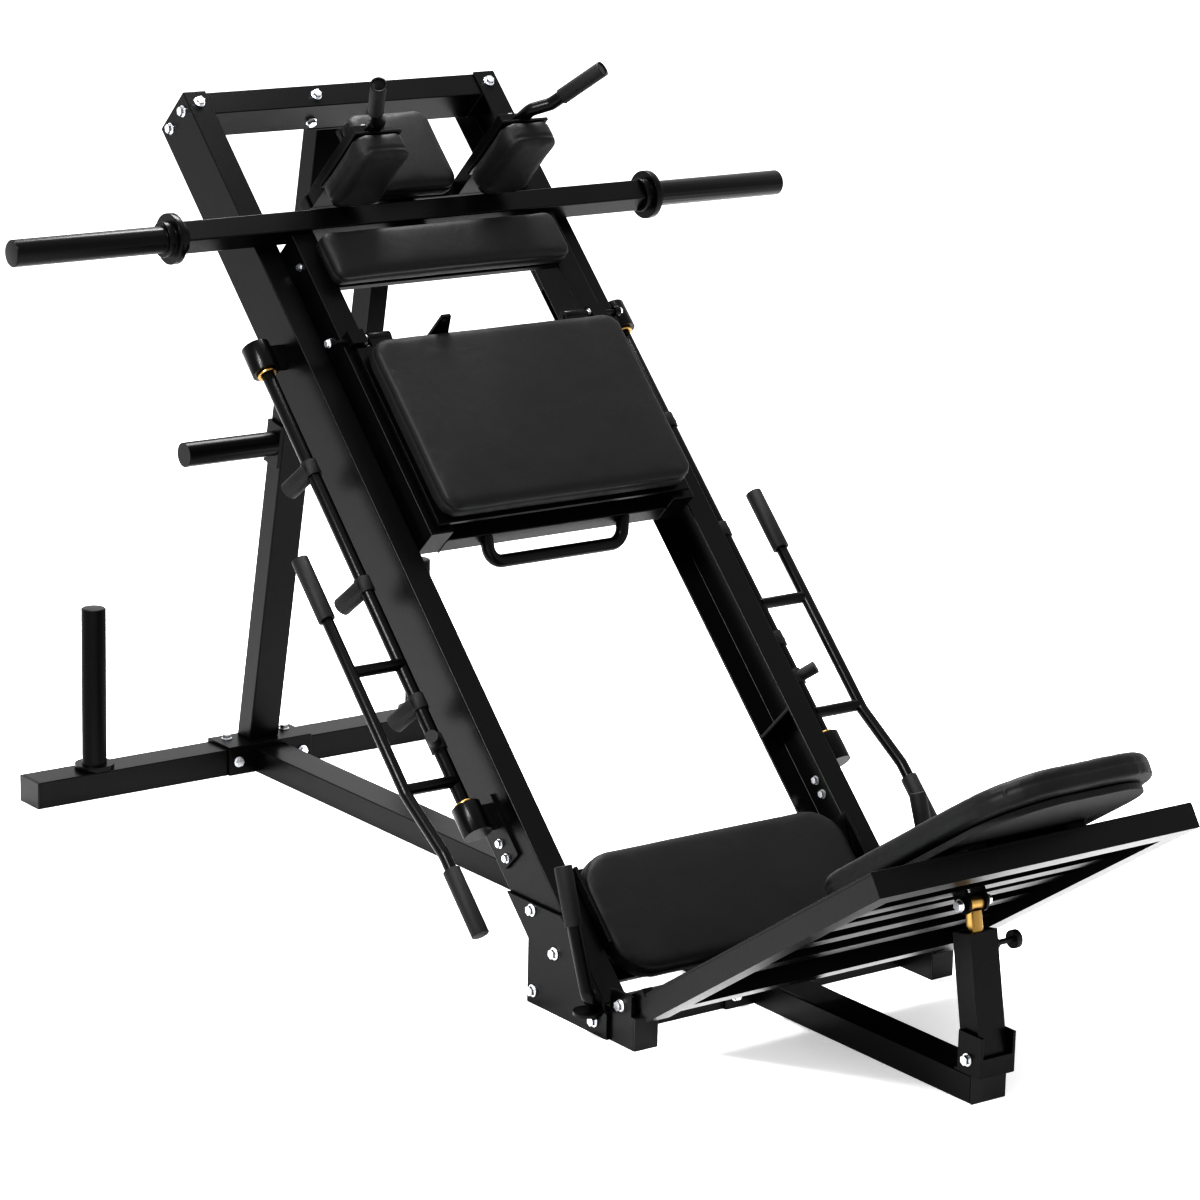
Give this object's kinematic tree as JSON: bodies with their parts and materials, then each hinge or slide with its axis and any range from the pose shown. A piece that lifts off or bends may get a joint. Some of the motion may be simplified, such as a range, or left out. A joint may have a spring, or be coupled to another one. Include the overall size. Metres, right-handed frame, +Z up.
{
  "type": "hack squat and leg press machine",
  "caption": "Inclined sled on two 45 degree channel rails with shoulder and back pads, flip-up foot plate, hinged platform with adjustable strut and turning safety shafts.",
  "frame": {"origin": "on the floor, on the plane of symmetry, halfway along the base", "axes": "+X along the weight bar, -Y towards the foot platform, +Z up"},
  "size_m": [1.752, 2.5628, 1.5408],
  "materials": {
    "black_steel": "satin powder coat",
    "pad_cover": "grained black leatherette",
    "grip_rubber": "matte",
    "zinc_steel": "zinc plated",
    "brass": "satin",
    "roller_nylon": "matte",
    "cap_plastic": "matte",
    "board_wood": "painted black"
  },
  "bodies": {
    "frame": {"centre_base_beam": "black_steel", "cup_rings": "brass", "end_caps": "cap_plastic", "frame_bolts": "zinc_steel", "front_base_beam": "black_steel", "front_cross_beam": "black_steel", "front_post_bracket": "black_steel", "left_foot_tube": "black_steel", "left_gusset": "black_steel", "left_rail": "black_steel", "rear_cross_beam": "black_steel", "rear_post": "black_steel", "rear_saddle": "black_steel", "right_foot_tube": "black_steel", "right_gusset": "black_steel", "right_rail": "black_steel", "seat_pad": "pad_cover", "seat_support": "black_steel", "shaft_cups": "black_steel", "side_grip_sleeves": "grip_rubber", "side_grip_tubes": "black_steel", "storage_pegs": "black_steel", "top_cross_beam": "black_steel"},
    "sled": {"weight_bar": "black_steel", "weight_sleeves": "black_steel", "left_sled_member": "black_steel", "right_sled_member": "black_steel", "sled_cross_tube": "black_steel", "sled_spine": "black_steel", "pad_boards": "black_steel", "shoulder_pads": "pad_cover", "back_pad": "pad_cover", "head_pad": "pad_cover", "sled_brace": "black_steel", "shoulder_handles": "black_steel", "u_handle": "black_steel", "panel_hinge_pins": "black_steel", "roller_plates": "black_steel", "sled_bolts": "zinc_steel"},
    "panel": {"panel_plate": "black_steel", "panel_pad": "pad_cover"},
    "left_upper_roller": {"left_upper_roller": "roller_nylon"},
    "left_lower_roller": {"left_lower_roller": "roller_nylon"},
    "left_shaft": {"left_safety_shaft": "black_steel", "left_shaft_stops": "grip_rubber", "left_safety_lever": "black_steel", "left_lever_grips": "grip_rubber"},
    "right_upper_roller": {"right_upper_roller": "roller_nylon"},
    "right_lower_roller": {"right_lower_roller": "roller_nylon"},
    "right_shaft": {"right_safety_shaft": "black_steel", "right_shaft_stops": "grip_rubber", "right_safety_lever": "black_steel", "right_lever_grips": "grip_rubber"},
    "platform": {"platform_frame": "black_steel", "footplate": "black_steel", "leg_pad_board": "board_wood", "leg_pad": "pad_cover"},
    "front_post": {"front_post": "black_steel"},
    "strut_rod": {"strut_rod": "brass"},
    "pull_pin": {"pull_pin": "cap_plastic"}
  },
  "joints": [
    {"name": "sled_slide", "type": "slide", "parent": "frame", "child": "sled", "axis": [0, -0.7071, -0.7071], "range_m": [0, 0.59]},
    {"name": "left_upper_roll", "type": "hinge", "parent": "sled", "child": "left_upper_roller", "pos_m": [-0.33, 0.55725, 1.11094], "axis": [1, 0, 0], "range_deg": [0, 650.09]},
    {"name": "left_lower_roll", "type": "hinge", "parent": "sled", "child": "left_lower_roller", "pos_m": [-0.33, 0.27795, 0.83163], "axis": [1, 0, 0], "range_deg": [0, 650.09]},
    {"name": "right_upper_roll", "type": "hinge", "parent": "sled", "child": "right_upper_roller", "pos_m": [0.33, 0.55725, 1.11094], "axis": [1, 0, 0], "range_deg": [0, 650.09]},
    {"name": "right_lower_roll", "type": "hinge", "parent": "sled", "child": "right_lower_roller", "pos_m": [0.33, 0.27795, 0.83163], "axis": [1, 0, 0], "range_deg": [0, 650.09]},
    {"name": "panel_flip", "type": "hinge", "parent": "sled", "child": "panel", "pos_m": [0, 0.35608, 1.05472], "axis": [-1, 0, 0], "range_deg": [0, 90]},
    {"name": "left_safety_turn", "type": "hinge", "parent": "frame", "child": "left_shaft", "pos_m": [-0.41, 0.16445, 0.71177], "axis": [0, 0.7071, 0.7071], "range_deg": [0, 90]},
    {"name": "right_safety_turn", "type": "hinge", "parent": "frame", "child": "right_shaft", "pos_m": [0.41, 0.16445, 0.71177], "axis": [0, -0.7071, -0.7071], "range_deg": [0, 90]},
    {"name": "platform_tilt", "type": "hinge", "parent": "frame", "child": "platform", "pos_m": [0, -0.62, 0.072], "axis": [-1, 0, 0], "range_deg": [-2, 12]},
    {"name": "post_tilt", "type": "hinge", "parent": "frame", "child": "front_post", "pos_m": [0, -1.15, 0.076], "axis": [-1, 0, 0], "range_deg": [-1.21, 7.25]},
    {"name": "rod_slide", "type": "slide", "parent": "front_post", "child": "strut_rod", "axis": [0, 0.1822, 0.9833], "range_m": [-0.01801, 0.10807]},
    {"name": "pin_pull", "type": "slide", "parent": "front_post", "child": "pull_pin", "axis": [1, 0, 0], "range_m": [0, 0.012]}
  ],
  "couplings": [
    {"joint": "left_upper_roll", "follows": "sled_slide", "rad_per_m": 19.231},
    {"joint": "left_lower_roll", "follows": "sled_slide", "rad_per_m": 19.231},
    {"joint": "right_upper_roll", "follows": "sled_slide", "rad_per_m": 19.231},
    {"joint": "right_lower_roll", "follows": "sled_slide", "rad_per_m": 19.231},
    {"joint": "post_tilt", "follows": "platform_tilt", "ratio": 0.604},
    {"joint": "rod_slide", "follows": "platform_tilt", "m_per_rad": 0.516}
  ]
}
